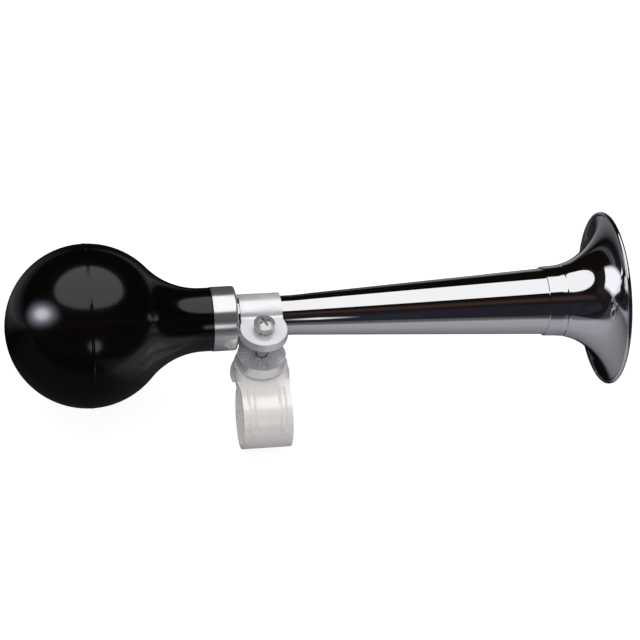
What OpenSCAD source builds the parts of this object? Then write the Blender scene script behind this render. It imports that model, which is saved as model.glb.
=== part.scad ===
/* [Handlebar clamp] */
// Radius of the handlebar that the clamp closes on
bar_r = 11.1; // [8:0.1:16]
// Thickness of the clamp's steel strip
strip_t = 1.3; // [0.8:0.1:2]
// Width of the strip where it goes around the handlebar
strip_w = 18.9; // [14:0.1:22]
// Width of the upper plate under the pivot
plate_w = 20.8; // [18:0.1:26]
// Depth of the upper plate's turned-down sides, below its underside
plate_skirt = 2.2; // [1:0.1:3]
// Radius of the lower ear around the pivot
lower_ear_r = 11.5; // [8:0.1:14]
// Gap left between the two ears when the clamp is tight
ear_gap = 3.5; // [2.4:0.1:5]
// Inner radius of the lower ear's bend
ear_bend_r = 1.0; // [0.5:0.1:1.5]
// Width of each pressed rib
rib_w = 3.1; // [1.5:0.1:5]
// Height of each pressed rib
rib_h = 0.5; // [0.2:0.1:1]
// Distance between the two ribs' centre lines
rib_pitch = 11.9; // [8:0.1:14]
// How far the ribs run down the front of the loop, in degrees from its top
rib_turn = 75; // [40:1:110]

/* [Pivot] */
// Radius of the pivot screw's shank
screw_r = 2.0; // [1.5:0.1:3]
// Radius of the pivot screw's head
head_r = 4.0; // [3.6:0.1:6]
// Height of the pivot screw's head
head_h = 3.0; // [1.5:0.1:4]
// Width of the nut across its flats
nut_flats = 7.0; // [6:0.1:10]
// Height of the nut
nut_h = 3.2; // [2:0.1:5]
// How far the screw's tip stands out of the nut
tip_l = 0.5; // [0.1:0.1:3]
// Outer radius of the spring washer
washer_r = 3.7; // [3:0.1:5]
// Thickness of the spring washer
washer_t = 1.0; // [0.6:0.1:1.5]
// Radius of the toothed disc
disc_r = 7.6; // [6:0.1:7.8]
// Radius of the plain hub inside the teeth
hub_r = 4.3; // [3.4:0.1:5]
// Number of radial teeth
teeth = 24; // [12:1:36]
// Height of the teeth
tooth_h = 0.5; // [0.3:0.1:0.8]
// Width of each tooth at its root
tooth_w = 0.9; // [0.4:0.1:1]

/* [Saddle] */
// Thickness of the saddle's steel sheet
saddle_t = 1.3; // [0.8:0.1:2]
// Width of the saddle over the tube
saddle_w = 16.0; // [12:0.1:18]
// Radius of the saddle's upper lug around the pivot
lug_r = 8.9; // [7:0.1:9]
// Depth of the upper lug's turned-down edge, from its top face
lug_edge = 3.2; // [1.6:0.1:4]
// How much lower the upper lug lies than the top of the tube
lug_drop = 2.6; // [1:0.1:4]
// Inner radius of the bend between the tube and the upper lug
lug_bend_r = 1.5; // [0.8:0.1:3]
// Radius of the saddle's round lower cup
cup_r = 9.3; // [9.2:0.1:10]
// Gap under the cup's turned-down edge
cup_gap = 0.8; // [0.3:0.1:2]
// Radius of the hole through the cup
cup_hole_r = 2.45; // [2.2:0.05:3]

/* [Trumpet] */
// Radius of the tube's parallel throat
throat_r = 7.7; // [6:0.1:9]
// Thickness of the tube's and the bell's sheet
sheet_t = 0.6; // [0.4:0.05:1]
// Distance from the pivot to where the tube starts to widen
throat_l = 12.9; // [9.6:0.1:20]
// Length of the widening part of the tube
cone_l = 106; // [60:1:160]
// Outer radius of the tube's front end
cone_r = 13.27; // [10:0.1:18]
// Outer radius of the bell's rim
bell_r = 34; // [26:0.5:45]
// Radius of the bell's flaring curve, in profile
flare_r = 22; // [18:0.5:36]
// How far the bell's skirt reaches back over the tube before it flares
skirt_l = 2.3; // [1:0.1:12]
// How far the tube's front end reaches past the start of the flare
tube_in = 2.0; // [1:0.1:3]
// Radius of the rolled bead around the rim
bead_r = 0.85; // [0.5:0.05:1.5]
// Distance from the start of the flare to the crimped groove
crimp_l = 6.7; // [3:0.1:9]
// Depth of the crimped groove
crimp_h = 0.25; // [0.1:0.05:0.3]

/* [Bulb] */
// Outer radius of the rubber bulb
bulb_r = 31.3; // [24:0.1:40]
// Thickness of the bulb's wall
bulb_t = 2.5; // [1.5:0.1:4]
// Outer radius of the bulb's neck
neck_r = 12.2; // [11.5:0.1:14]
// Length of straight neck that shows behind the ferrule
neck_l = 3.4; // [1:0.1:12]
// Radius of the hollow curve between the neck and the bulb
shoulder_r = 28; // [16:0.5:40]
// Height of the moulding seam around the bulb
seam_h = 0.5; // [0.2:0.1:1]
// Width of the moulding seam around the bulb
seam_w = 1.5; // [0.8:0.1:3]

/* [Ferrule and reed] */
// Outer radius of the ferrule around the bulb's neck
ferrule_r = 12.4; // [11:0.1:15]
// Length of the ferrule
ferrule_l = 9.3; // [6:0.1:16]
// Thickness of the ferrule's sheet
ferrule_t = 0.6; // [0.4:0.05:1]
// Radius of the ferrule's front shoulder
ferrule_round = 1.0; // [0.8:0.1:3]
// Gap between the ferrule and the saddle's strap
ferrule_gap = 1.2; // [0.5:0.1:4]
// Outer radius of the nipple inside the neck
nipple_r = 8.7; // [8.4:0.1:9.4]
// Length of the nipple
nipple_l = 28.4; // [20:0.1:34]
// Depth of the nipple's socket for the tube
socket_l = 10.4; // [6:0.1:14]
// Radius of the nipple's bore for the reed
reed_bore_r = 6.0; // [5:0.1:7]
// Height of the ridges that grip the neck
barb_h = 0.4; // [0.1:0.1:0.8]
// Length of the reed plug inside the nipple
plug_l = 8; // [5:0.1:12]
// Thickness of the reed plug's flange
plug_flange_t = 1.4; // [0.8:0.1:3]
// Outer radius of the shallot
shallot_r = 3.6; // [3:0.1:4.5]
// Thickness of the shallot's wall
shallot_t = 0.9; // [0.5:0.1:1.2]
// Height of the shallot's flat face above its axis
flat_h = 1.2; // [0.4:0.1:1.8]
// Length of the shallot behind the plug's flange
shallot_l = 18; // [12:0.1:24]
// Width of the reed tongue
tongue_w = 5.4; // [4:0.1:5.8]
// Thickness of the reed tongue
tongue_t = 0.25; // [0.15:0.05:0.4]
// Length of the tongue that is free to beat
tongue_l = 14.5; // [8:0.1:20]
// How far the tongue stands open at rest, in degrees
tongue_open = 2; // [0.5:0.1:4]
// How far the wedge stands out of the plug
wedge_out = 0.8; // [0.3:0.1:2]

/* [Fits] */
// Gap in a soldered, pressed or seated joint
seat = 0.02; // [0.01:0.01:0.05]
// Gap between the pivot screw and the lug that turns on it
turn_gap = 0.05; // [0.02:0.01:0.1]
// Gap around the screw in its clearance holes
hole_gap = 0.25; // [0.1:0.05:0.5]
// Gap between the nut's side and the loop
nut_gap = 0.1; // [0.05:0.05:1]
// Gap between the ferrule and the clamp's ribs when the horn turns
pass_gap = 0.2; // [0.1:0.1:3]
// Gap between the screw and the saddle's wrap around the tube
wrap_gap = 1.2; // [0.5:0.1:5]
// Gap between the tips of the two sets of teeth
tooth_gap = 0.05; // [0.03:0.01:0.2]

/* [Hidden] */
$fn = 96;

steel = [0.80, 0.80, 0.80];
zinc = [0.86, 0.85, 0.82];
chrome = [0.75, 0.76, 0.78];
brass = [0.78, 0.62, 0.30];
black_rubber = [0.06, 0.06, 0.07];

// Straight run of strip between two bends that go opposite ways
bend_run = 0.6;

// Lower ear: the strip leaves the loop at ear_turn and its bend ends level
loop_r = bar_r + strip_t;
lower_ear_z = bar_r - ear_gap - strip_t;
ear_d = loop_r + ear_bend_r;
ear_turn = asin((lower_ear_z - ear_bend_r) / norm([ear_d, bend_run])) - atan(bend_run / ear_d);
ear_bend = [ear_d * cos(ear_turn) - bend_run * sin(ear_turn), lower_ear_z - ear_bend_r];

// Pivot axis: the nut's flat just clears the loop
pivot_y = loop_r + nut_gap + nut_flats / 2;

// Heights up the pivot: the ferrule just passes over the ribs
plate_z = loop_r;
axis_z = plate_z + rib_h + pass_gap + ferrule_r;
cup_z = axis_z - throat_r - seat - saddle_t;
lug_z = axis_z + throat_r + seat - lug_drop;
lug_top_z = lug_z + saddle_t;
head_z = lug_top_z + washer_t + 2 * seat;
tip_z = lower_ear_z - nut_h - seat - tip_l;

// Horn axis beside the pivot
axis_y = pivot_y + screw_r + wrap_gap + saddle_t + seat + throat_r;

// Upper lug: the sheet leaves the tube at wrap_turn past its top and its bend ends level
wrap_r = throat_r + seat;
lug_d = wrap_r + saddle_t + lug_bend_r;
wrap_turn = acos((lug_d - lug_drop) / norm([lug_d, bend_run])) - atan(bend_run / lug_d);
lug_bend = [
    axis_y - lug_d * sin(wrap_turn) - bend_run * cos(wrap_turn),
    lug_z + lug_bend_r + saddle_t
];

// Stations along the horn's axis, measured from the pivot
cone_front = throat_l + cone_l;
taper = atan((cone_r - throat_r) / cone_l);
flare_start = cone_front - tube_in;
skirt_back = flare_start - skirt_l;
ferrule_front = -(saddle_w / 2 + ferrule_gap);
ferrule_back = ferrule_front - ferrule_l;
nipple_front = ferrule_front - ferrule_t - seat;
nipple_back = nipple_front - nipple_l;
shoulder_a = ferrule_back - neck_l;
bulb_a = shoulder_a - sqrt(pow(bulb_r + shoulder_r, 2) - pow(neck_r + shoulder_r, 2));
neck_front = nipple_front;
neck_grip_r = ferrule_r - ferrule_t - seat;
plug_back = nipple_back - seat - plug_flange_t;
wedge_back = plug_back - wedge_out;

function arc(c, r, from, to, n) =
    [for (i = [0:n]) let (t = from + (to - from) * i / n) c + r * [cos(t), sin(t)]];

function cone_at(a) = throat_r + max(0, a - throat_l) * tan(taper);

// Turns a profile of [radius, distance along the horn] about the horn's axis
module turned(points) {
    translate([0, axis_y, axis_z])
        rotate([0, 90, 0])
            rotate_extrude()
                polygon(points);
}

// Lays a shape drawn in the YZ plane across the clamp, centred on X = 0
module across(width) {
    rotate([90, 0, 90])
        linear_extrude(width, center = true)
            children();
}

// Outline of a sheet lug: a round end on the pivot and a strap that ends at end_y
module lug_outline(r, w, end_y) {
    intersection() {
        translate([0, pivot_y])
            circle(r);
        translate([-r, pivot_y - r])
            square([2 * r, end_y - pivot_y + r - 0.5]);
    }
    translate([0, end_y])
        polygon([
            [-w / 2, pivot_y - end_y],
            [w / 2, pivot_y - end_y],
            [w / 2, 0],
            [-w / 2, 0]
        ]);
}

// Equator of the bulb to its closed back end
module bulb_back_half() {
    inner_r = bulb_r - bulb_t;
    color(black_rubber)
        turned(concat(
            arc([0, bulb_a], bulb_r, -90, -2, 22),
            [
                [bulb_r, bulb_a - seam_w],
                [bulb_r + seam_h, bulb_a - seam_w * 0.7],
                [bulb_r + seam_h, bulb_a],
                [inner_r, bulb_a]
            ],
            arc([0, bulb_a], inner_r, 0, -90, 22)
        ));
}

// Angle on the bulb at which the hollow shoulder takes over
shoulder_turn = acos((neck_r + shoulder_r) / (bulb_r + shoulder_r));
bore_r = nipple_r + seat;
mouth_turn = acos(bore_r / (bulb_r - bulb_t));

// Equator of the bulb to the end of its neck, bored for the nipple
module bulb_front_half() {
    color(black_rubber)
        turned(concat(
            [[bulb_r - bulb_t, bulb_a]],
            arc([0, bulb_a], bulb_r, 0, shoulder_turn, 14),
            arc([neck_r + shoulder_r, shoulder_a], shoulder_r, 180 + shoulder_turn, 180, 12),
            [
                [neck_r, ferrule_back - seat],
                [neck_grip_r, ferrule_back - seat],
                [neck_grip_r, neck_front - ferrule_round],
                [neck_grip_r - ferrule_round, neck_front],
                [bore_r, neck_front]
            ],
            neck_bore(seat),
            arc([0, bulb_a], bulb_r - bulb_t, mouth_turn, 0, 16)
        ));
}

// Gripping ridges from the front of the nipple to its back, grown by a gap
function neck_bore(gap) = [
    for (a = [nipple_front - 12, nipple_front - 18])
        each [
            [nipple_r + gap, a],
            [nipple_r + barb_h + gap, a - 0.6],
            [nipple_r + gap, a - 3]
        ]
];

// Drawn cup that holds the neck on the nipple, with a rounded front shoulder
module neck_ferrule() {
    hole_r = throat_r + seat;
    inner_r = ferrule_r - ferrule_t;
    inner_round = max(0.2, ferrule_round - ferrule_t);
    corner = [ferrule_r - ferrule_round, ferrule_front - ferrule_round];
    color(steel)
        turned(concat(
            [
                [hole_r, ferrule_front],
                [hole_r, ferrule_front - ferrule_t],
                [ferrule_r - ferrule_round, ferrule_front - ferrule_t]
            ],
            arc(corner, inner_round, 75, 0, 5),
            [
                [inner_r, ferrule_back],
                [ferrule_r, ferrule_back]
            ],
            arc(corner, ferrule_round, 0, 90, 8)
        ));
}

// Brass tube inside the neck: the trumpet's throat sits in front, the reed behind
module reed_nipple() {
    socket_r = throat_r + seat;
    socket_end = nipple_front - socket_l;
    color(brass)
        turned(concat(
            [
                [socket_r, nipple_front],
                [nipple_r, nipple_front]
            ],
            neck_bore(0),
            [
                [nipple_r, nipple_back + 0.6],
                [nipple_r - 0.6, nipple_back],
                [reed_bore_r, nipple_back],
                [reed_bore_r, socket_end],
                [socket_r, socket_end]
            ]
        ));
}

// Flanged plug that carries the shallot, the tongue and the wedge
module reed_plug() {
    body_r = reed_bore_r - seat;
    flange_r = (reed_bore_r + nipple_r) / 2;
    bore = shallot_r + seat;
    color(brass)
        turned([
            [bore, plug_back],
            [flange_r - 0.3, plug_back],
            [flange_r, plug_back + 0.3],
            [flange_r, nipple_back - seat],
            [body_r, nipple_back - seat],
            [body_r, nipple_back + plug_l - 0.4],
            [body_r - 0.4, nipple_back + plug_l],
            [bore, nipple_back + plug_l]
        ]);
}

// Places a shape on the horn's axis with X along the horn
module on_axis() {
    translate([0, axis_y, axis_z])
        children();
}

// Half-round brass tube, closed behind, whose flat face the tongue beats on
module reed_shallot() {
    front = nipple_back + plug_l;
    back = plug_back - shallot_l;
    bore_l = front - back - 1.2;
    color(brass)
        on_axis()
            difference() {
                translate([back, 0, 0])
                    rotate([0, 90, 0])
                        cylinder(h = front - back, r = shallot_r);
                translate([front - bore_l, 0, 0])
                    rotate([0, 90, 0])
                        cylinder(h = bore_l + 1, r = shallot_r - shallot_t);
                translate([back - 1, -shallot_r - 1, flat_h])
                    cube([front - back + 2, 2 * shallot_r + 2, shallot_r]);
            }
}

// Springy strip: clamped root inside the plug, free end standing slightly open
module reed_tongue() {
    root_l = wedge_out + plug_flange_t + plug_l - 2;
    color(brass)
        on_axis() {
            translate([wedge_back, -tongue_w / 2, flat_h + seat])
                cube([root_l, tongue_w, tongue_t]);
            translate([wedge_back, 0, flat_h + seat])
                rotate([0, tongue_open, 0])
                    translate([-tongue_l, -tongue_w / 2, 0])
                        cube([tongue_l + 0.1, tongue_w, tongue_t]);
        }
}

// Brass wedge that pins the tongue's root to the shallot in the plug's bore
module reed_wedge() {
    root_l = wedge_out + plug_flange_t + plug_l - 2;
    color(brass)
        on_axis()
            intersection() {
                translate([wedge_back, 0, 0])
                    rotate([0, 90, 0])
                        cylinder(h = root_l, r = shallot_r);
                translate([wedge_back - 1, -shallot_r, flat_h + tongue_t + 2 * seat])
                    cube([root_l + 2, 2 * shallot_r, shallot_r]);
            }
}

// Seamed sheet tube: a parallel throat, then an even taper to the bell
module trumpet_cone() {
    back = nipple_front - socket_l + seat;
    color(chrome)
        turned([
            [throat_r - sheet_t, back],
            [throat_r, back],
            [throat_r, throat_l],
            [cone_r, cone_front],
            [cone_r - sheet_t, cone_front],
            [throat_r - sheet_t, throat_l]
        ]);
}

// Curve of the bell's sheet: its centre, and the angle at which it meets the bead
flare_root = cone_at(flare_start) + seat + sheet_t;
flare_c = [flare_root + flare_r * cos(taper), flare_start - flare_r * sin(taper)];
flare_turn = acos((flare_c[0] - bell_r + bead_r) / (flare_r + sheet_t / 2));

// Points of the flare on its outer face, or on its inner face with inset = sheet_t
function flare(inset, from, to) = arc(flare_c, flare_r + inset, 180 - from, 180 - to, 24);

// Ring of round section about the horn's axis
module ring(r, a, section_r) {
    translate([a, axis_y, axis_z])
        rotate([0, 90, 0])
            rotate_extrude()
                translate([r, 0])
                    circle(section_r, $fn = 32);
}

// Spun bell: a skirt soldered over the tube, a crimp, the flare and a rolled rim
module bell() {
    skirt_r = cone_at(skirt_back) + seat;
    crimp_turn = taper + asin(crimp_l / flare_r);
    crimp_r = 2 * crimp_h;
    crimp = flare_c + (flare_r - crimp_r + crimp_h) * [-cos(crimp_turn), sin(crimp_turn)];
    rim = flare_c + (flare_r + sheet_t / 2) * [-cos(flare_turn), sin(flare_turn)];
    color(chrome)
        difference() {
            union() {
                turned(concat(
                    [
                        [skirt_r, skirt_back],
                        [skirt_r + sheet_t, skirt_back]
                    ],
                    flare(0, taper, flare_turn),
                    flare(sheet_t, flare_turn, taper)
                ));
                ring(rim[0], rim[1], bead_r);
            }
            ring(crimp[0], crimp[1], crimp_r);
        }
}

// Strip bent through an arc, in the plane of the sheet's edge
module bent(centre, inner, thick, from, to) {
    reach = 3 * (inner + thick);
    translate(centre)
        intersection() {
            difference() {
                circle(inner + thick);
                circle(inner);
            }
            polygon(concat([[0, 0]], arc([0, 0], reach, from, to, 6)));
        }
}

// Straight run of strip after a bend that ends at an angle, let a little into both bends
module between_bends(centre, inner, thick, turn) {
    lap = 0.2;
    skin = 0.01;
    translate(centre)
        rotate(turn)
            translate([inner + skin, -lap])
                square([thick - 2 * skin, bend_run + 2 * lap]);
}

// Ring of radial ridges, or of grooves where it is cut away, pointing up or down
module serrations(outer, width, height) {
    inner = hub_r + 0.3;
    for (i = [0:teeth - 1])
        rotate([0, 0, 360 / teeth * i])
            rotate([90, 0, 90])
                translate([0, 0, inner])
                    linear_extrude(outer - inner)
                        polygon([
                            [-width / 2, -0.1 * sign(height)],
                            [width / 2, -0.1 * sign(height)],
                            [width / 2, 0],
                            [0.1, height],
                            [-0.1, height],
                            [-width / 2, 0]
                        ]);
}

// Puts a shape on the pivot's axis at a height
module on_pivot(z) {
    translate([0, pivot_y, z])
        children();
}

// Bent sheet strap that holds the tube, with a flat lug above and a toothed cup below
module saddle() {
    wrap_c = [axis_y, axis_z];
    edge_z = lug_top_z - lug_edge;
    edge_flare = 0.4;
    lip_h = 0.4;
    color(steel)
        difference() {
            union() {
                across(saddle_w) {
                    bent(wrap_c, wrap_r, saddle_t, -90, 90 + wrap_turn);
                    between_bends(wrap_c, wrap_r, saddle_t, 90 + wrap_turn);
                    bent(lug_bend, lug_bend_r, saddle_t, 270, 270 + wrap_turn);
                }
                translate([0, 0, lug_z])
                    linear_extrude(saddle_t)
                        lug_outline(lug_r, saddle_w, lug_bend[0]);
                translate([0, 0, cup_z])
                    linear_extrude(saddle_t)
                        lug_outline(cup_r, saddle_w, axis_y);
                on_pivot(edge_z)
                    difference() {
                        cylinder(h = lug_edge, r1 = lug_r + edge_flare, r2 = lug_r);
                        translate([0, 0, -0.01])
                            cylinder(
                                h = lug_edge - saddle_t + 0.01,
                                r1 = lug_r + edge_flare - saddle_t,
                                r2 = lug_r - saddle_t
                            );
                        translate([-2 * lug_r, lug_r / 3, -1])
                            cube([4 * lug_r, 4 * lug_r, lug_edge + 2]);
                    }
                on_pivot(plate_z + cup_gap)
                    difference() {
                        cylinder(h = cup_z + saddle_t + lip_h - plate_z - cup_gap, r = cup_r);
                        translate([0, 0, -1])
                            cylinder(h = cup_z - plate_z - cup_gap + 1, r = cup_r - saddle_t);
                        translate([0, 0, cup_z + saddle_t - plate_z - cup_gap])
                            cylinder(h = 1, r1 = cup_r - 2 * lip_h, r2 = cup_r - 2 * lip_h + 1);
                        translate([-2 * cup_r, 0, cup_z + saddle_t - plate_z - cup_gap])
                            cube([4 * cup_r, 4 * cup_r, 1]);
                    }
                on_pivot(cup_z)
                    rotate([0, 0, 180 / teeth])
                        serrations(cup_r - saddle_t - 0.2, tooth_w, -tooth_h);
            }
            on_pivot(lug_z - lug_edge)
                cylinder(h = 2 * lug_edge + saddle_t, r = screw_r + turn_gap);
            on_pivot(cup_z - 2)
                cylinder(h = saddle_t + 4, r = cup_hole_r);
            on_pivot(cup_z + saddle_t)
                rotate([0, 0, 180 / teeth])
                    serrations(cup_r - 3 * lip_h, tooth_w, -tooth_h / 2);
        }
}

// Serrated disc fixed to the clamp: its hub carries the saddle, its teeth index the turn
module toothed_disc() {
    top = cup_z - 2 * tooth_h - tooth_gap;
    color(steel)
        difference() {
            union() {
                on_pivot(plate_z)
                    cylinder(h = top - plate_z, r = disc_r);
                on_pivot(top)
                    serrations(disc_r - 0.2, tooth_w, tooth_h);
                on_pivot(plate_z)
                    cylinder(h = cup_z - seat - plate_z, r = hub_r);
            }
            on_pivot(plate_z - 1)
                cylinder(h = cup_z - plate_z + 2, r = screw_r + hole_gap);
        }
}

// Cross-section of a pressed rib: height above the strip against distance across it
rib_curve_r = (rib_w * rib_w / 4 + rib_h * rib_h) / (2 * rib_h);
rib_half = asin(rib_w / 2 / rib_curve_r);
rib_root = -0.3;
rib_section = concat(
    [[rib_root, -rib_w / 2], [rib_root, rib_w / 2]],
    arc([rib_h - rib_curve_r, 0], rib_curve_r, rib_half, -rib_half, 8)
);

// Rib that starts on the plate, goes over the loop's top and ends on its front
module rib(plate_y) {
    translate([0, 0, loop_r])
        rotate([-90, 0, 0])
            linear_extrude(plate_y)
                rotate([0, 0, -90])
                    polygon(rib_section);
    rotate([180, -90, 0])
        rotate_extrude(angle = rib_turn)
            translate([loop_r, 0])
                polygon(rib_section);
}

// Flat top with two rounded corners and straight sides, seen from its end
module channel(width, depth, corner) {
    intersection() {
        union() {
            translate([-width / 2, -depth])
                square([width, depth - corner]);
            translate([-width / 2 + corner, -depth])
                square([width - 2 * corner, depth]);
            for (side = [-1, 1])
                translate([side * (width / 2 - corner), -corner])
                    circle(corner);
        }
        translate([-width / 2, -depth])
            square([width, depth]);
    }
}

// One strip: the upper plate, the loop around the handlebar and the lower ear
module clamp_band() {
    skirt_y = sqrt(pow(bar_r, 2) - pow(bar_r - plate_skirt, 2)) + 0.4;
    narrow_y = skirt_y - 4;
    color(zinc)
        difference() {
            union() {
                across(strip_w) {
                    bent([0, 0], bar_r, strip_t, 90, 225);
                    bent([0, 0], bar_r, strip_t, 225, 360 + ear_turn);
                    between_bends([0, 0], bar_r, strip_t, ear_turn);
                    bent(ear_bend, ear_bend_r, strip_t, 90, 180 + ear_turn);
                    translate([0, bar_r])
                        square([skirt_y, strip_t]);
                }
                translate([0, 0, bar_r])
                    linear_extrude(strip_t) {
                        polygon([
                            [-strip_w / 2, narrow_y],
                            [strip_w / 2, narrow_y],
                            [plate_w / 2, skirt_y],
                            [-plate_w / 2, skirt_y]
                        ]);
                        translate([0, pivot_y])
                            circle(plate_w / 2);
                    }
                translate([0, pivot_y, loop_r])
                    rotate([90, 0, 0])
                        linear_extrude(pivot_y - skirt_y)
                            difference() {
                                channel(plate_w, strip_t + plate_skirt, 2 * strip_t);
                                translate([0, -strip_t])
                                    channel(plate_w - 2 * strip_t, strip_t + plate_skirt, strip_t);
                            }
                translate([0, 0, lower_ear_z])
                    linear_extrude(strip_t)
                        intersection() {
                            translate([0, pivot_y])
                                circle(lower_ear_r);
                            translate([-lower_ear_r, ear_bend[0]])
                                square(2 * lower_ear_r + pivot_y);
                        }
                for (side = [-1, 1])
                    translate([side * rib_pitch / 2, 0, 0])
                        rib(narrow_y);
            }
            on_pivot(lower_ear_z - 1)
                cylinder(h = loop_r - lower_ear_z + 2, r = screw_r + hole_gap);
        }
}

// Pan-headed screw with a cross recess
module pivot_screw() {
    dome_r = 2.2 * head_r;
    recess_w = 0.28 * head_r;
    recess_l = 1.15 * head_r;
    recess_h = 0.5 * head_h;
    color(steel)
        difference() {
            union() {
                on_pivot(tip_z)
                    cylinder(h = head_z - tip_z, r = screw_r);
                on_pivot(head_z)
                    intersection() {
                        cylinder(h = head_h, r = head_r);
                        translate([0, 0, head_h - dome_r])
                            sphere(dome_r);
                    }
            }
            on_pivot(head_z + head_h - recess_h)
                for (turn = [20, 110])
                    rotate([0, 0, turn])
                        translate([-recess_l / 2, -recess_w / 2, 0])
                            cube([recess_l, recess_w, head_h]);
            on_pivot(tip_z)
                difference() {
                    translate([0, 0, -1])
                        cylinder(h = 1.4, r = 2 * screw_r);
                    cylinder(h = 0.4, r1 = screw_r - 0.4, r2 = screw_r);
                }
        }
}

// Split ring that keeps the turning joint tight under the screw's head
module spring_washer() {
    split_w = 1.0;
    color(steel)
        on_pivot(lug_top_z + seat)
            difference() {
                cylinder(h = washer_t, r = washer_r);
                translate([0, 0, -1])
                    cylinder(h = washer_t + 2, r = screw_r + hole_gap);
                rotate([0, 0, -115])
                    rotate([30, 0, 0])
                        translate([0, -split_w / 2, -2 * washer_t])
                            cube([2 * washer_r, split_w, 5 * washer_t]);
            }
}

// Hexagon nut with chamfered corners, one flat beside the loop
module hex_nut() {
    corner_r = nut_flats / 2 / cos(30);
    chamfer = corner_r - nut_flats / 2;
    color(steel)
        on_pivot(lower_ear_z - seat - nut_h)
            difference() {
                intersection() {
                    cylinder(h = nut_h, r = corner_r, $fn = 6);
                    rotate_extrude()
                        polygon([
                            [0, 0],
                            [nut_flats / 2, 0],
                            [corner_r, chamfer],
                            [corner_r, nut_h - chamfer],
                            [nut_flats / 2, nut_h],
                            [0, nut_h]
                        ]);
                }
                translate([0, 0, -1])
                    cylinder(h = nut_h + 2, r = screw_r + seat);
            }
}

bulb_back_half();
bulb_front_half();
neck_ferrule();
reed_nipple();
reed_plug();
reed_shallot();
reed_tongue();
reed_wedge();
trumpet_cone();
bell();
saddle();
toothed_disc();
clamp_band();
pivot_screw();
spring_washer();
hex_nut();
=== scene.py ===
import math

import bmesh
import bpy
from mathutils import Matrix, Vector


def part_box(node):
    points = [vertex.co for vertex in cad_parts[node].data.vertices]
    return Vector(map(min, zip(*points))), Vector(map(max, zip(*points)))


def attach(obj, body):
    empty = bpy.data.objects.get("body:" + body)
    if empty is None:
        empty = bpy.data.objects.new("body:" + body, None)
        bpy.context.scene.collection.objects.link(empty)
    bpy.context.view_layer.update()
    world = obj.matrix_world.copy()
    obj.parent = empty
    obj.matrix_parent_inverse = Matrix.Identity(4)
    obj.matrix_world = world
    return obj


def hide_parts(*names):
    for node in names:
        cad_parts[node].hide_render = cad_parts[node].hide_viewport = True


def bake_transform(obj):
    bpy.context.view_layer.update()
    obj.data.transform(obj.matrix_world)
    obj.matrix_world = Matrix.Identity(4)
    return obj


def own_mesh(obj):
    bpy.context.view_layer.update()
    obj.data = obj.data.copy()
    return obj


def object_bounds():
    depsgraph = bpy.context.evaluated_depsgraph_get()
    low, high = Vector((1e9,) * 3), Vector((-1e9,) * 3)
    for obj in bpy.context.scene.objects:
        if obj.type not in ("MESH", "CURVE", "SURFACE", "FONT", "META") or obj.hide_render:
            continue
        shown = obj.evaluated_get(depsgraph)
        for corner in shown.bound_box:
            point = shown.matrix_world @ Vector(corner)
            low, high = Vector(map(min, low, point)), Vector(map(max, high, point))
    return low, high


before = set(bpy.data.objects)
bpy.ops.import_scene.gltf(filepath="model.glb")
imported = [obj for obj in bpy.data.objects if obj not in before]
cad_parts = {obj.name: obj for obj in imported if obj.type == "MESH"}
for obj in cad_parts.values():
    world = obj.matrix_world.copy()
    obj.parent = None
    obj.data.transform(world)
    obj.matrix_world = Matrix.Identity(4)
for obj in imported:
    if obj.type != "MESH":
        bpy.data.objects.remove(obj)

cad_low, cad_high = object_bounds()

# Handlebar clamp: one strip of steel with two pressed ribs, bent into a loop around the
# bar with an ear above and below the gap. It is blanked, pressed and then zinc plated,
# which leaves a pale, faintly cloudy skin with rolling marks along the strip.
zinc_colours = ((0.95, 0.92, 0.90, 1), (0.90, 0.87, 0.85, 1))
cloud_span = (0.3, 0.7)
cloud_detail = 4
polish_spread = (0.8, 1.25)
grain_detail = 3
metal_press = 0.35


def blank_finish(name):
    """New finish, with the place on the piece that its clouds and grain are laid by."""
    finish = bpy.data.materials.new(name)
    finish.use_nodes = True
    place = finish.node_tree.nodes.new("ShaderNodeTexCoord")
    return finish, place.outputs["Object"]


def mottle(finish, place, scale, detail):
    """Uneven marks over a surface: clouds where they are large, grain where they are small."""
    marks = finish.node_tree.nodes.new("ShaderNodeTexNoise")
    marks.inputs["Scale"].default_value = scale
    marks.inputs["Detail"].default_value = detail
    finish.node_tree.links.new(place, marks.inputs["Vector"])
    return marks.outputs["Fac"]


def cloud_over(finish, cloud, colours, roughness):
    """Lets the clouds run the colour and the roughness from one value to the other."""
    nodes, links = finish.node_tree.nodes, finish.node_tree.links
    shader = nodes["Principled BSDF"]
    tint = nodes.new("ShaderNodeMix")
    tint.data_type = "RGBA"
    tint.inputs["A"].default_value = colours[0]
    tint.inputs["B"].default_value = colours[1]
    links.new(cloud, tint.inputs["Factor"])
    links.new(tint.outputs["Result"], shader.inputs["Base Color"])
    polish = nodes.new("ShaderNodeMapRange")
    polish.inputs["From Min"].default_value = cloud_span[0]
    polish.inputs["From Max"].default_value = cloud_span[1]
    polish.inputs["To Min"].default_value = roughness[0]
    polish.inputs["To Max"].default_value = roughness[1]
    links.new(cloud, polish.inputs["Value"])
    links.new(polish.outputs["Result"], shader.inputs["Roughness"])


def press_grain(finish, grain, press, depth):
    """Stands the grain up from the surface as fine bumps."""
    nodes, links = finish.node_tree.nodes, finish.node_tree.links
    bump = nodes.new("ShaderNodeBump")
    bump.inputs["Strength"].default_value = press
    bump.inputs["Distance"].default_value = depth
    links.new(grain, bump.inputs["Height"])
    links.new(bump.outputs["Normal"], nodes["Principled BSDF"].inputs["Normal"])


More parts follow.
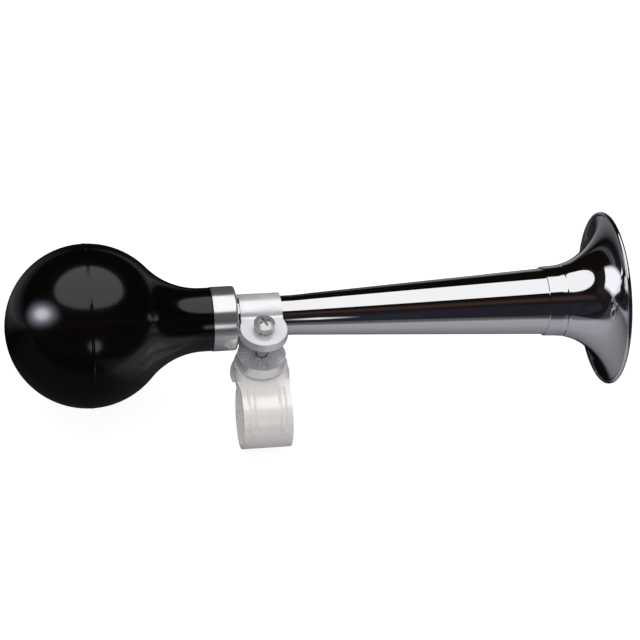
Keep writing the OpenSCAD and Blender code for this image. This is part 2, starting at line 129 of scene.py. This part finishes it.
def metal_finish(name, colours, roughness, cloud_size, grain_stretch, grain_depth, metal=1.0):
    """Metal with a cloudy tint, uneven polish and fine grain, which may be drawn out one way."""
    finish, place = blank_finish(name)
    nodes, links = finish.node_tree.nodes, finish.node_tree.links
    nodes["Principled BSDF"].inputs["Metallic"].default_value = metal
    cloud = mottle(finish, place, 1 / cloud_size, cloud_detail)
    cloud_over(finish, cloud, colours, [roughness * share for share in polish_spread])
    stretch = nodes.new("ShaderNodeMapping")
    stretch.inputs["Scale"].default_value = grain_stretch
    links.new(place, stretch.inputs["Vector"])
    grain = mottle(finish, stretch.outputs["Vector"], scale=1, detail=grain_detail)
    press_grain(finish, grain, metal_press, grain_depth)
    return finish


def dress(node, finish):
    """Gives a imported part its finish."""
    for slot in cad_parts[node].material_slots:
        slot.material = finish


zinc_plate = metal_finish(
    "zinc_plate",
    zinc_colours,
    roughness=0.25,
    cloud_size=0.006,
    grain_stretch=(500, 1400, 1400),
    grain_depth=0.0000004,
    metal=0.2,
)
dress("clamp_band", zinc_plate)

# Pivot: a toothed disc riveted to the upper ear, an M4 pan-headed screw down through the
# horn's saddle and both ears, a split washer under its head and a plain hexagon nut.
# All are nickel plated; the disc's teeth are struck in a press.
nickel_colours = ((0.72, 0.72, 0.73, 1), (0.62, 0.62, 0.64, 1))
# The toothed disc's nickel is darker and greener: painted shade under the saddle's lug, with a painted
# green reflection of the lug.
shaded_green_nickel_colours = ((0.60, 0.71, 0.61, 1), (0.48, 0.58, 0.49, 1))
bright_nickel = metal_finish(
    "bright_nickel",
    nickel_colours,
    roughness=0.24,
    cloud_size=0.004,
    grain_stretch=(2400, 2400, 2400),
    grain_depth=0.000001,
    metal=0.75,
)
shaded_green_nickel = metal_finish(
    "shaded_green_nickel",
    shaded_green_nickel_colours,
    roughness=0.2,
    cloud_size=0.006,
    grain_stretch=(2400, 2400, 2400),
    grain_depth=0.000001,
    metal=0.88,
)
for node in ("pivot_screw", "spring_washer", "hex_nut"):
    dress(node, bright_nickel)
dress("toothed_disc", shaded_green_nickel)

# Saddle: a strap of sheet steel wrapped around the throat of the horn, with a flat lug
# above the pivot and a drawn cup with radial serrations below. Satin nickel plated.
satin_colours = ((0.88, 0.89, 0.91, 1), (0.82, 0.83, 0.85, 1))
soft_satin = metal_finish(
    "soft_satin",
    satin_colours,
    roughness=0.3,
    cloud_size=0.008,
    grain_stretch=(2200, 2200, 500),
    grain_depth=0.000001,
    metal=0.6,
)
dress("saddle", soft_satin)

# Trumpet: a tube of thin sheet rolled to a taper and seam-welded, ground smooth and
# chromium plated to a mirror. Its throat runs back through the ferrule into the bulb.
chrome_colours = ((0.82, 0.82, 0.84, 1), (0.76, 0.76, 0.79, 1))
tube_low, tube_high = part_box("trumpet_cone")
bell_low, bell_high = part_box("bell")
horn_y = (bell_low.y + bell_high.y) / 2
horn_z = (bell_low.z + bell_high.z) / 2
tube_front_r = (tube_high.y - tube_low.y) / 2
throat_r = 0.0077
throat_end = 0.0129
sheet_t = 0.0006
lip_chamfer = sheet_t / 4
throat_steps = 4
taper_steps = 12
tube_sides = 256
smooth_below = math.radians(32)
same_point = 0.0000002


def straight(start, end, steps):
    """Points on a straight stretch of outline, its last point left out."""
    return [
        (start[0] + (end[0] - start[0]) * i / steps, start[1] + (end[1] - start[1]) * i / steps)
        for i in range(steps)
    ]


def finished(name, mesh, finish):
    """Piece from a mesh, its points welded and its smooth and sharp edges marked."""
    form = bmesh.new()
    form.from_mesh(mesh)
    bmesh.ops.remove_doubles(form, verts=form.verts, dist=same_point)
    bare = [edge for edge in form.edges if not edge.link_faces]
    bmesh.ops.delete(form, geom=bare, context="EDGES")
    bmesh.ops.recalc_face_normals(form, faces=form.faces)
    for edge in form.edges:
        edge.smooth = len(edge.link_faces) == 2 and edge.calc_face_angle() < smooth_below
    for face in form.faces:
        face.smooth = True
    form.to_mesh(mesh)
    form.free()
    mesh.materials.append(finish)
    piece = bpy.data.objects.new(name, mesh)
    bpy.context.scene.collection.objects.link(piece)
    return piece


def spun(name, outline, finish, sides):
    """Closed outline of (radius, place along the horn), turned about the horn's axis."""
    points, faces = [], []
    for i in range(sides):
        turn = 2 * math.pi * i / sides
        for radius, place in outline:
            points.append((place, horn_y + radius * math.cos(turn), horn_z + radius * math.sin(turn)))
    count = len(outline)
    for i in range(sides):
        here = i * count
        there = (i + 1) % sides * count
        for j in range(count):
            k = (j + 1) % count
            faces.append((here + j, here + k, there + k, there + j))
    mesh = bpy.data.meshes.new(name)
    mesh.from_pydata(points, [], faces)
    mesh.update()
    return finished(name, mesh, finish)


mirror_chrome = metal_finish(
    "mirror_chrome",
    chrome_colours,
    roughness=0.035,
    cloud_size=0.02,
    grain_stretch=(60, 900, 900),
    grain_depth=0.0000012,
)
throat_bore_r = throat_r - sheet_t
tube_bore_r = tube_front_r - sheet_t
tube_outline = (
    straight((throat_r, tube_low.x), (throat_r, throat_end), throat_steps)
    + straight((throat_r, throat_end), (tube_front_r, tube_high.x), taper_steps)
    + [(tube_front_r, tube_high.x), (tube_bore_r, tube_high.x)]
    + straight((tube_bore_r, tube_high.x - lip_chamfer), (throat_bore_r, throat_end), taper_steps)
    + straight((throat_bore_r, throat_end), (throat_bore_r, tube_low.x), throat_steps)
    + [(throat_bore_r, tube_low.x)]
)
rolled_tube = spun("rolled_tube", tube_outline, mirror_chrome, tube_sides)
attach(rolled_tube, "horn")
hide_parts("trumpet_cone")

# Bell: a disc of the same sheet spun over a former into a flare, its rim rolled over a
# bead for stiffness and its skirt soldered over the tube. A groove is crimped around it
# where the flare begins, and the whole is chromium plated with the tube.
flare_r = 0.022
flare_steps = 110
bead_r = 0.00085
bead_back = 230
bead_front = 35
bead_steps = 28
under_bead = 3
crimp_l = 0.0032
crimp_h = 0.00018
crimp_half_turn = 1.7
tube_in = 0.002
seat = 0.00002
skirt_lap = 0.0023
skirt_round = 0.00018
bell_sides = 320
bell_r = (bell_high.y - bell_low.y) / 2
taper = math.atan((tube_front_r - throat_r) / (tube_high.x - throat_end))
taper_turn = math.degrees(taper)
flare_start = tube_high.x - tube_in
flare_root = tube_front_r - tube_in * math.tan(taper) + seat + sheet_t
flare_c = (flare_root + flare_r * math.cos(taper), flare_start - flare_r * math.sin(taper))
flare_turn = math.degrees(math.acos((flare_c[0] - bell_r + bead_r) / (flare_r + sheet_t / 2)))
crimp_turn = math.degrees(taper + crimp_l / flare_r)
skirt_back = bell_low.x - skirt_lap
skirt_r = tube_front_r - (tube_high.x - skirt_back) * math.tan(taper) + seat


def arc(centre, radius, start, end, steps):
    """Points (distance from the axis, place along it) round a curve, with angles in degrees."""
    points = []
    for i in range(steps + 1):
        turn = math.radians(start + (end - start) * i / steps)
        points.append((centre[0] + radius * math.cos(turn), centre[1] + radius * math.sin(turn)))
    return points


def hump(gap, half):
    """Height from 0 to 1 of a rounded ridge, at a gap from its middle."""
    return math.cos(gap / half * math.pi / 2) ** 2 if abs(gap) < half else 0.0


def flare_point(turn, inset):
    """Point of the flare's sheet at an angle, with the crimp pressed in across its width."""
    radius = flare_r + inset + crimp_h * hump(turn - crimp_turn, crimp_half_turn)
    angle = math.radians(180 - turn)
    return (flare_c[0] + radius * math.cos(angle), flare_c[1] + radius * math.sin(angle))


flare_turns = [
    taper_turn + (flare_turn - taper_turn) * i / flare_steps
    for i in range(flare_steps + 1 - under_bead)
]
rim = flare_point(flare_turn, sheet_t / 2)
lip_turn = 180 - flare_turn
bell_outline = (
    [
        (skirt_r, skirt_back),
        (skirt_r + sheet_t - skirt_round, skirt_back),
        (skirt_r + sheet_t, skirt_back + skirt_round),
    ]
    + [flare_point(turn, 0) for turn in flare_turns]
    + arc(rim, bead_r, lip_turn - bead_back, lip_turn + bead_front, bead_steps)
    + [flare_point(turn, sheet_t) for turn in reversed(flare_turns)]
)
spun_chrome = metal_finish(
    "spun_chrome",
    chrome_colours,
    roughness=0.06,
    cloud_size=0.02,
    grain_stretch=(1200, 1200, 1200),
    grain_depth=0.0000015,
)
spun_bell = spun("spun_bell", bell_outline, spun_chrome, bell_sides)
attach(spun_bell, "horn")
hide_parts("bell")

# Ferrule: a short cup drawn from sheet steel, slid over the bulb's neck to hold it on the
# nipple, with its front shoulder rounded in to the tube. Satin nickel plated.
satin_nickel = metal_finish(
    "satin_nickel",
    satin_colours,
    roughness=0.19,
    cloud_size=0.008,
    grain_stretch=(2200, 2200, 500),
    grain_depth=0.000001,
    metal=0.92,
)
dress("neck_ferrule", satin_nickel)

# Reed: a turned brass nipple, barbed to grip the neck, with a flanged brass plug behind.
# A wedge pins a springy tongue on the flat of a half-round shallot in the plug's bore.
brass_colours = ((0.72, 0.52, 0.22, 1), (0.60, 0.42, 0.17, 1))
spring_colours = ((0.78, 0.60, 0.28, 1), (0.68, 0.50, 0.22, 1))
turned_brass = metal_finish(
    "turned_brass",
    brass_colours,
    roughness=0.24,
    cloud_size=0.006,
    grain_stretch=(3200, 300, 300),
    grain_depth=0.000008,
)
spring_brass = metal_finish(
    "spring_brass",
    spring_colours,
    roughness=0.18,
    cloud_size=0.004,
    grain_stretch=(400, 3200, 3200),
    grain_depth=0.000004,
)
for node in ("reed_nipple", "reed_plug", "reed_shallot", "reed_wedge"):
    dress(node, turned_brass)
tongue_low, tongue_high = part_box("reed_tongue")
wedge_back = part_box("reed_wedge")[0].x
tongue_t = 0.00025
tongue_open = math.radians(2)
tongue_corners = 4
root_steps = 4
leaf_steps = 24


def springy_tongue(name):
    """Thin strip: its root lies flat under the wedge and its free leaf stands open behind."""
    leaf_l = (wedge_back - tongue_low.x) / math.cos(tongue_open)
    lines = []
    for i in range(root_steps):
        place = tongue_high.x + (wedge_back - tongue_high.x) * i / root_steps
        lines.append((place, tongue_low.z, 0.0))
    for i in range(leaf_steps + 1):
        reach = leaf_l * i / leaf_steps
        lift = math.sin(tongue_open) * reach
        lines.append((wedge_back - math.cos(tongue_open) * reach, tongue_low.z + lift, tongue_open))
    points, faces = [], []
    for place, rise, tilt in lines:
        upper_place = place + math.sin(tilt) * tongue_t
        upper_rise = rise + math.cos(tilt) * tongue_t
        points.append((place, tongue_low.y, rise))
        points.append((place, tongue_high.y, rise))
        points.append((upper_place, tongue_high.y, upper_rise))
        points.append((upper_place, tongue_low.y, upper_rise))
    last = tongue_corners * (len(lines) - 1)
    for here in range(0, last, tongue_corners):
        there = here + tongue_corners
        for j in range(tongue_corners):
            k = (j + 1) % tongue_corners
            faces.append((here + j, here + k, there + k, there + j))
    faces.append((3, 2, 1, 0))
    faces.append((last, last + 1, last + 2, last + 3))
    mesh = bpy.data.meshes.new(name)
    mesh.from_pydata(points, [], faces)
    mesh.update()
    return finished(name, mesh, spring_brass)


sprung_tongue = springy_tongue("sprung_tongue")
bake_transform(sprung_tongue)
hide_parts("reed_tongue")

# Bulb: black rubber moulded in two cavities that meet at its equator, where a thin seam
# stands all the way round with two small nubs left by the vents. Its neck is pushed over
# the nipple. The rubber is glossy and a little dusty, with a fine grain from its mould.
rubber_colours = ((0.0012, 0.0008, 0.0006, 1), (0.0022, 0.0018, 0.0016, 1))
rubber_roughness = (0.12, 0.16)
rubber_shine = 0.6
rubber_press = 0.25
rubber_grain_scale = 900
rubber_grain_depth = 0.000004
dust_scale = 60
dust_detail = 8
glossy_rubber, rubber_place = blank_finish("glossy_rubber")
rubber_shader = glossy_rubber.node_tree.nodes["Principled BSDF"]
rubber_shader.inputs["Specular IOR Level"].default_value = rubber_shine
dust = mottle(glossy_rubber, rubber_place, dust_scale, dust_detail)
cloud_over(glossy_rubber, dust, rubber_colours, rubber_roughness)
rubber_grain = mottle(glossy_rubber, rubber_place, rubber_grain_scale, grain_detail)
press_grain(glossy_rubber, rubber_grain, rubber_press, rubber_grain_depth)

ferrule_low, ferrule_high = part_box("neck_ferrule")
nipple_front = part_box("reed_nipple")[1].x
bulb_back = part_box("bulb_back_half")[0].x
bulb_r = 0.0313
bulb_t = 0.0025
bulb_sides = 192
bulb_x = bulb_back + bulb_r
bulb_c = Vector((bulb_x, horn_y, horn_z))
back_steps = 46
front_steps = 26
bore_steps = 60
neck_r = 0.0122
neck_l = 0.0034
neck_lip_l = 0.0004
neck_lip_h = 0.0003
shoulder_r = 0.028
shoulder_steps = 26
shoulder_x = ferrule_low.x - neck_l
shoulder_turn = math.degrees(math.acos((neck_r + shoulder_r) / (bulb_r + shoulder_r)))
grip_r = (ferrule_high.y - ferrule_low.y) / 2 - sheet_t - seat
mouth_chamfer = 0.001
nipple_r = 0.0087
bore_r = nipple_r + seat
bore_turn = math.degrees(math.acos(bore_r / (bulb_r - bulb_t)))
ridge_h = 0.0004
ridge_rise = 0.0006
ridge_l = 0.003
ridges_behind = (0.012, 0.018)
seam_h = 0.00016
seam_w = 0.0006
seam_turn = math.degrees(seam_w / bulb_r)
seam_steps = 20
seam_clear = 2 * seam_turn
seam_edge = 1.8 * seam_turn
nub_h = 0.0003
nub_r = 0.0009
nub_turns = (118, 163)


def with_seam(points):
    """Raises the moulding seam on the outline where it crosses the bulb's equator."""
    return [(radius + seam_h * hump(place - bulb_x, seam_w), place) for radius, place in points]


def raise_nubs(piece):
    """Lifts the two nubs that the mould's vents leave on the seam."""
    form = bmesh.new()
    form.from_mesh(piece.data)
    for turn in nub_turns:
        angle = math.radians(turn)
        nub = bulb_c + Vector((0, math.cos(angle), math.sin(angle))) * bulb_r
        for vertex in form.verts:
            lift = nub_h * hump((vertex.co - nub).length, nub_r)
            vertex.co += (vertex.co - bulb_c).normalized() * lift
    form.to_mesh(piece.data)
    form.free()


ball_c = (0, bulb_x)
outer_ball = (
    arc(ball_c, bulb_r, -90, -seam_clear, back_steps)
    + arc(ball_c, bulb_r, -seam_edge, seam_edge, seam_steps)
    + arc(ball_c, bulb_r, seam_clear, shoulder_turn, front_steps)
)
shoulder = arc((neck_r + shoulder_r, shoulder_x), shoulder_r, 180 + shoulder_turn, 180, shoulder_steps)
ridges = []
for behind in ridges_behind:
    ridge_x = nipple_front - behind
    ridges += [(bore_r, ridge_x), (bore_r + ridge_h, ridge_x - ridge_rise), (bore_r, ridge_x - ridge_l)]
bulb_outline = (
    with_seam(outer_ball)
    + shoulder[1:]
    + [
        (neck_r, ferrule_low.x - neck_lip_l),
        (neck_r - neck_lip_h, ferrule_low.x - seat),
        (grip_r, ferrule_low.x - seat),
        (grip_r, nipple_front - mouth_chamfer),
        (grip_r - mouth_chamfer, nipple_front),
        (bore_r, nipple_front),
    ]
    + ridges
    + arc(ball_c, bulb_r - bulb_t, bore_turn, -90, bore_steps)
)
rubber_bulb = spun("rubber_bulb", bulb_outline, glossy_rubber, bulb_sides)
raise_nubs(rubber_bulb)
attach(rubber_bulb, "horn")
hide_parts("bulb_back_half", "bulb_front_half")
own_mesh(rubber_bulb)

# Table and room: a matt white table in a plain white room. Both show as white to the
# camera, to polished surfaces and through glass, and light the horn less than that, so
# that its colours come out as they are and its shadow stays on the table.
white = (1, 1, 1, 1)
room_light = 0.75
room_white = 1.0
table_colour = (0.28, 0.28, 0.28, 1)
table_roughness = 0.9
table_white = 0.88
table_half = 30.0
table_drop = 0.0005
table_z = cad_low.z - table_drop


def whiter_when_seen(tree, strength, unseen, seen):
    """Sets a glow to one strength for camera, glossy and transmission rays, else to another."""
    nodes, links = tree.nodes, tree.links
    path = nodes.new("ShaderNodeLightPath")
    ray = path.outputs["Is Camera Ray"]
    for output in ("Is Glossy Ray", "Is Transmission Ray"):
        either = nodes.new("ShaderNodeMath")
        either.operation = "MAXIMUM"
        links.new(ray, either.inputs[0])
        links.new(path.outputs[output], either.inputs[1])
        ray = either.outputs[0]
    glow = nodes.new("ShaderNodeMapRange")
    glow.inputs["To Min"].default_value = unseen
    glow.inputs["To Max"].default_value = seen
    links.new(ray, glow.inputs["Value"])
    links.new(glow.outputs["Result"], strength)


room = bpy.data.worlds.new("white_room")
room.use_nodes = True
bpy.context.scene.world = room
background = room.node_tree.nodes["Background"]
background.inputs["Color"].default_value = white
whiter_when_seen(room.node_tree, background.inputs["Strength"], room_light, room_white)

table_finish = bpy.data.materials.new("white_table")
table_finish.use_nodes = True
table_shader = table_finish.node_tree.nodes["Principled BSDF"]
table_shader.inputs["Base Color"].default_value = table_colour
table_shader.inputs["Roughness"].default_value = table_roughness
table_shader.inputs["Specular IOR Level"].default_value = 0.0
table_shader.inputs["Emission Color"].default_value = white
whiter_when_seen(table_finish.node_tree, table_shader.inputs["Emission Strength"], 0.0, table_white)
table_mesh = bpy.data.meshes.new("table")
table_mesh.from_pydata(
    [
        (-table_half, -table_half, table_z),
        (table_half, -table_half, table_z),
        (table_half, table_half, table_z),
        (-table_half, table_half, table_z),
    ],
    [],
    [(0, 1, 2, 3)],
)
table_mesh.materials.append(table_finish)
table = bpy.data.objects.new("table", table_mesh)
bpy.context.scene.collection.objects.link(table)

# Tent and cards: painted reflections, glowing sheets that show only in polished surfaces,
# as the dark, grey and pale card that a photographer of chrome hangs around it. A dark tent
# stands over everything, a card in greys lies on the table, and a pale panel stands across
# the clamp and shows in the bell.
stage_x = 0.02
stage_c = Vector((stage_x, horn_y, horn_z))
tent_r = 1.7
tent_below = 0.01
tent_columns = 120
tent_rows = 60
# Painted reflection: the dark and dim bands that the tube and bell show, by angle around the horn.
tent_stops = [
    (108, (0.006, 0.004, 0.003)),
    (120, (0.012, 0.009, 0.008)),
    (129, (0.055, 0.034, 0.030)),
    (138, (0.016, 0.011, 0.011)),
    (150, (0.014, 0.016, 0.020)),
    (160, (0.024, 0.025, 0.035)),
    (170, (0.022, 0.024, 0.033)),
]


def card(name, place, paint, columns, rows, clear_back=False):
    """Glowing sheet seen only by polished surfaces: place and paint give it shape and colour."""
    corners, colours, faces = [], [], []
    for i in range(columns + 1):
        for j in range(rows + 1):
            corners.append(place(i / columns, j / rows))
            colours.append(paint(i / columns, j / rows))
    for i in range(columns):
        for j in range(rows):
            k = i * (rows + 1) + j
            faces.append((k, k + rows + 1, k + rows + 2, k + 1))
    mesh = bpy.data.meshes.new(name)
    mesh.from_pydata(corners, [], faces)
    shade = mesh.color_attributes.new("shade", "FLOAT_COLOR", "POINT")
    for i, colour in enumerate(colours):
        shade.data[i].color = [*colour, 1]
    finish = bpy.data.materials.new(name)
    finish.use_nodes = True
    nodes, links = finish.node_tree.nodes, finish.node_tree.links
    nodes.remove(nodes["Principled BSDF"])
    painted = nodes.new("ShaderNodeAttribute")
    painted.attribute_name = "shade"
    light = nodes.new("ShaderNodeEmission")
    links.new(painted.outputs["Color"], light.inputs["Color"])
    clear = nodes.new("ShaderNodeBsdfTransparent")
    side = nodes.new("ShaderNodeNewGeometry")
    two_sides = nodes.new("ShaderNodeMixShader")
    links.new(side.outputs["Backfacing"], two_sides.inputs["Fac"])
    links.new(light.outputs["Emission"], two_sides.inputs[1])
    links.new((clear if clear_back else light).outputs[0], two_sides.inputs[2])
    links.new(two_sides.outputs["Shader"], nodes["Material Output"].inputs["Surface"])
    mesh.materials.append(finish)
    hung = bpy.data.objects.new(name, mesh)
    bpy.context.scene.collection.objects.link(hung)
    hung.visible_camera = False
    hung.visible_diffuse = False
    hung.visible_transmission = False
    hung.visible_volume_scatter = False
    hung.visible_shadow = False


def between(stops, value):
    """Colour at a value, run straight between the stops on either side of it."""
    if value <= stops[0][0]:
        return stops[0][1]
    for (low_value, low_colour), (high_value, high_colour) in zip(stops, stops[1:]):
        if value <= high_value:
            share = (value - low_value) / (high_value - low_value)
            return [a + (b - a) * share for a, b in zip(low_colour, high_colour)]
    return stops[-1][1]


def tent_place(u, v):
    """Point of the tent: u goes round it, v from just below the horn's level to the top."""
    turn = 2 * math.pi * u
    rise = math.pi * (v / 2 - tent_below)
    across = math.cos(rise)
    return stage_c + tent_r * Vector((math.cos(turn) * across, math.sin(turn) * across, math.sin(rise)))


def tent_paint(u, v):
    """Colour of the tent, by the angle around the line of the horn."""
    spot = tent_place(u, v) - stage_c
    return between(tent_stops, math.degrees(math.atan2(spot.z, spot.y)))


card("dark_tent", tent_place, tent_paint, tent_columns, tent_rows)

card_lift = 0.0005
card_tint = (1.0, 0.985, 1.07)
card_rows = [
    -2.0, -0.5, -0.3, -0.2, -0.16, -0.135, -0.11, -0.09, -0.06, -0.045, -0.03,
    -0.02, -0.012, -0.005, 0.003, 0.012, 0.02, 0.03, 0.043, 0.0431, 0.06, 0.075,
    0.0752, 0.09, 0.105, 0.114, 0.124, 0.13, 0.16, 0.2, 0.3, 0.5, 2.0,
]
card_columns = [
    -2.0, -0.3, -0.2, -0.15, -0.1, -0.06, -0.03, -0.0001, 0.0, 0.01, 0.03, 0.0301, 0.04,
    0.06, 0.08, 0.1, 0.104, 0.118, 0.127, 0.131, 0.135, 0.15, 0.2, 0.4, 2.0,
]
# Painted shadow: the greys fall dark under and just behind the horn and by the bulb, as its shadow on
# the table.
front_stops = [
    (-0.3, [0.1]), (-0.16, [0.16]), (-0.11, [0.42]), (-0.045, [0.37]),
    (-0.03, [0.30]), (-0.005, [0.20]), (0.012, [0.09]), (0.022, [0.02]),
]
front_sides = [
    (-0.06, [0.12]), (-0.03, [0.2]), (-0.01, [0.35]), (0.0, [0.75]),
    (0.02, [1.0]), (0.13, [1.0]), (0.155, [0.4]), (0.3, [0.2]),
]
back_stops = [
    (0.03, [0.02]), (0.06, [0.14]), (0.075, [0.26]), (0.105, [0.17]), (0.2, [0.12]), (0.3, [0.06]),
]
back_sides = [
    (-0.16, [1.0]), (-0.1, [0.1]), (0.02, [0.03]), (0.04, [0.3]), (0.1, [1.0]), (0.13, [2.5]),
]
back_from = 0.025
patch_x = (0.0, 0.03)
patch_y = (0.04305, 0.0751)
patch_light = 1.15
# Painted shadow of the bell on the table card, under its rim and behind it.
bell_painted_shadow_y = (-0.03, 0.025)
bell_painted_shadow_stops = [(0.126, [1.0]), (0.131, [0.02])]
painted_shadow_behind_bell_y = (0.03, 0.115)
painted_shadow_behind_bell_stops = [(0.104, [1.0]), (0.118, [0.04])]


def table_card_place(u, v):
    """Point of the table card, whose rows and columns are listed."""
    x = card_columns[round(u * (len(card_columns) - 1))]
    y = card_rows[round(v * (len(card_rows) - 1))]
    return Vector((x, stage_c.y + y, table_z + card_lift))


def table_card_paint(u, v):
    """Grey of the table card, with the horn's painted shadow, one pale patch and two patches of painted
    shadow by the bell.
    """
    spot = table_card_place(u, v)
    y = spot.y - stage_c.y
    if y < back_from:
        light = between(front_stops, y)[0] * between(front_sides, spot.x)[0]
    else:
        light = between(back_stops, y)[0] * between(back_sides, spot.x)[0]
    if patch_x[0] <= spot.x <= patch_x[1] and patch_y[0] < y < patch_y[1]:
        light = patch_light
    if bell_painted_shadow_y[0] < y < bell_painted_shadow_y[1]:
        light *= between(bell_painted_shadow_stops, spot.x)[0]
    if painted_shadow_behind_bell_y[0] < y < painted_shadow_behind_bell_y[1]:
        light *= between(painted_shadow_behind_bell_stops, spot.x)[0]
    return [light * value for value in card_tint]


card("table_card", table_card_place, table_card_paint, len(card_columns) - 1, len(card_rows) - 1)

# Painted reflection: the pale panel glows only for polished surfaces and is the pale patch in the bell.
panel_front = -0.01
panel_w = 0.085
panel_step = 0.026
panel_low = 0.001
panel_raised = 0.027
panel_top = 0.094
panel_colour = (1.15, 1.13, 1.2)
panel_edge = 0.1
panel_fade = 6
panel_columns = 24
panel_rows = 12


def bell_panel_place(u, v):
    """Point of the panel, whose front part is cut off higher above the table."""
    across = panel_front + panel_w * u
    low = table_z + (panel_low if across > panel_step else panel_raised)
    return Vector((0.0, stage_c.y + across, low + (table_z + panel_top - low) * v))


def bell_panel_paint(u, v):
    """Pale across the panel, fading at its two upright edges."""
    edge = min(1, panel_fade * min(u, 1 - u) + panel_edge)
    return [value * edge for value in panel_colour]


card("bell_panel", bell_panel_place, bell_panel_paint, panel_columns, panel_rows, clear_back=True)

# Oval lamps and flags: two soft lamps on stands, which show as round lights in the rubber
# and the bell, and two small flags of dark card, painted dark reflections over parts of the
# horn where glare would show. Like the cards, they show only in polished surfaces and light
# nothing else, so the round lights are painted highlights.
lamp_columns = 64
lamp_rows = 24
front_x = -0.012
front_turn = math.radians(161)
front_away = 0.6
front_half = 0.1
front_across = Vector((front_half, 0, 0))
front_out = Vector((0, math.cos(front_turn), math.sin(front_turn)))
front_up = front_half * Vector((0, -math.sin(front_turn), math.cos(front_turn)))
front_middle = Vector((front_x, horn_y, horn_z)) + front_away * front_out
front_lamp_stops = [(0, (1.25, 1.22, 1.22)), (0.72, (1.2, 1.17, 1.17)), (1, (0.06, 0.06, 0.10))]
left_middle = Vector((-0.255, 0.011, 0.13))
left_across = Vector((0.041, -0.068, 0.086))
left_up = Vector((0.011, 0.059, 0.028))
left_lamp_stops = [
    (0, (10.8, 10.4, 11.2)),
    (0.25, (9.4, 9.1, 9.9)),
    (0.45, (3.6, 3.5, 4.1)),
    (0.62, (1.6, 1.55, 1.9)),
    (0.82, (0.5, 0.48, 0.66)),
    (1, (0.03, 0.03, 0.05)),
]
left_flag_corner = Vector((-0.03, -0.05, 0.042))
left_flag_w = Vector((0, 0.16, 0))
left_flag_h = Vector((0, 0, 0.1))
left_flag_colour = (0.012, 0.010, 0.010)
front_flag_corner = Vector((0.2, -0.05, 0.03))
front_flag_w = Vector((-0.13, 0, 0))
front_flag_h = Vector((0, 0, 0.05))
front_flag_colour = (0.020, 0.019, 0.028)


def oval_lamp(name, middle, across, upward, stops):
    """Oval soft lamp from its middle and two half-widths, with colours from the middle outward."""

    def place(u, v):
        turn = 2 * math.pi * u
        return middle + (across * math.cos(turn) + upward * math.sin(turn)) * v

    def paint(u, v):
        return between(stops, v)

    card(name, place, paint, lamp_columns, lamp_rows)


def flag(name, corner, side, rise, colour):
    """Small dark card, a painted dark reflection, from one corner and its two sides, clear from behind.
    """

    def place(u, v):
        return corner + side * u + rise * v

    def paint(u, v):
        return colour

    card(name, place, paint, 1, 1, clear_back=True)


oval_lamp("front_lamp", front_middle, front_across, front_up, front_lamp_stops)
oval_lamp("left_lamp", left_middle, left_across, left_up, left_lamp_stops)
flag("left_flag", left_flag_corner, left_flag_w, left_flag_h, left_flag_colour)
flag("front_flag", front_flag_corner, front_flag_w, front_flag_h, front_flag_colour)

# Softbox: one large oval lamp on a boom above and behind the horn. It lights the whole
# object, and it is the long highlight on the tube and the window of light on the rubber.
softbox_turn = math.radians(70.5)
softbox_away = 0.51
softbox_forward = 0.09
softbox_x = -0.03
softbox_w = 0.92
softbox_d = 0.68
softbox_watts = 1.72
softbox = bpy.data.lights.new("softbox", "AREA")
softbox.shape = "ELLIPSE"
softbox.size = softbox_w
softbox.size_y = softbox_d
softbox.energy = softbox_watts
toward = Vector((0, math.cos(softbox_turn), math.sin(softbox_turn)))
backward = toward.cross(Vector((1, 0, 0)))
softbox_foot = Vector((softbox_x, horn_y, horn_z))
lamp = bpy.data.objects.new("softbox", softbox)
lamp.location = softbox_foot + toward * softbox_away - backward * softbox_forward
lamp.rotation_mode = "QUATERNION"
lamp_facing = Matrix((Vector((1, 0, 0)), backward, toward)).transposed()
lamp.rotation_quaternion = lamp_facing.to_quaternion()
lamp.visible_camera = False
bpy.context.scene.collection.objects.link(lamp)

# Camera: on a stand at the horn's front left, looking down on it through a long lens and
# turned a little, so that the horn runs level across the picture.
frame_pixels = 640
focal_pixels = 2100
sensor = 36.0
nearest = 0.05
farthest = 100
camera_azimuth = math.radians(-13.92)
camera_elevation = math.radians(46.16)
camera_roll = math.radians(6.97)
camera_away = 0.8138
aim = Vector((0.0243, horn_y, 0.0217))
camera_data = bpy.data.cameras.new("camera")
camera_data.sensor_width = sensor
camera_data.lens = focal_pixels / frame_pixels * sensor
camera_data.clip_start = nearest
camera_data.clip_end = farthest
back = Vector((
    math.sin(camera_azimuth) * math.cos(camera_elevation),
    -math.cos(camera_azimuth) * math.cos(camera_elevation),
    math.sin(camera_elevation),
))
level_right = Vector((0, 0, 1)).cross(back).normalized()
level_up = back.cross(level_right)
right = level_right * math.cos(camera_roll) + level_up * math.sin(camera_roll)
up = level_up * math.cos(camera_roll) - level_right * math.sin(camera_roll)
camera_facing = Matrix((right, up, back)).transposed().to_4x4()
camera = bpy.data.objects.new("camera", camera_data)
camera.matrix_world = Matrix.Translation(aim + back * camera_away) @ camera_facing
bpy.context.scene.collection.objects.link(camera)
bpy.context.scene.camera = camera
bpy.context.scene.view_settings.view_transform = "Standard"
